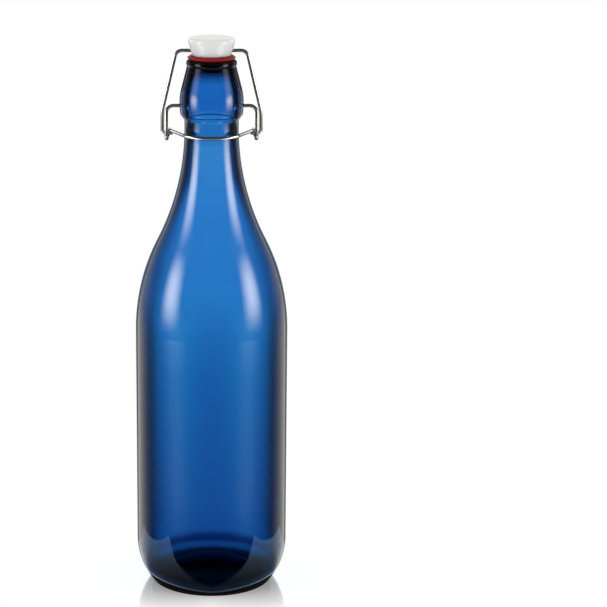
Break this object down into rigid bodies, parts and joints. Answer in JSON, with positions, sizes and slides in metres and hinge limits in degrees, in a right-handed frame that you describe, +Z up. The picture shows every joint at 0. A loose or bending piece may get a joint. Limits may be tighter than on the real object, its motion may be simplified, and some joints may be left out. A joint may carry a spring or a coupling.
{
  "type": "swing top bottle",
  "caption": "Tall round blue glass bottle with a long sloping shoulder and slim neck, closed by a gasketed stopper that a hinged wire bail and lever clamp onto its mouth.",
  "frame": {"origin": "on the bottle's axis, in the plane of the bearing ring that it stands on", "axes": "+Z up along the bottle's axis, -Y towards the front, where the lever's locking loop is, X along the closure's pivots"},
  "size_m": [0.0874, 0.0874, 0.3199],
  "materials": {
    "blue_glass": "clear polished glass, tinted through",
    "steel_wire": "bright drawn stainless steel",
    "white_stopper": "smooth white moulding",
    "red_rubber": "satin red rubber"
  },
  "bodies": {
    "bottle": {"glass_bottle": "blue_glass"},
    "lever": {"lever_wire": "steel_wire"},
    "bail": {"bail_wire": "steel_wire"},
    "closure": {"stopper": "white_stopper", "gasket": "red_rubber"}
  },
  "joints": [
    {"name": "lever_swing", "type": "hinge", "parent": "bottle", "child": "lever", "pos_m": [0, 0, 0.28134], "axis": [-1, 0, 0], "range_deg": [0, 84]},
    {"name": "bail_swing", "type": "hinge", "parent": "lever", "child": "bail", "pos_m": [0, 0.0008, 0.26549], "axis": [-1, 0, 0], "range_deg": [-59, 0]},
    {"name": "stopper_tilt", "type": "hinge", "parent": "bail", "child": "closure", "pos_m": [0, 0, 0.31252], "axis": [-1, 0, 0], "range_deg": [-25.5, 0]}
  ],
  "couplings": [
    {"joint": "bail_swing", "follows": "lever_swing", "ratio": -0.7},
    {"joint": "stopper_tilt", "follows": "lever_swing", "ratio": -0.3}
  ]
}
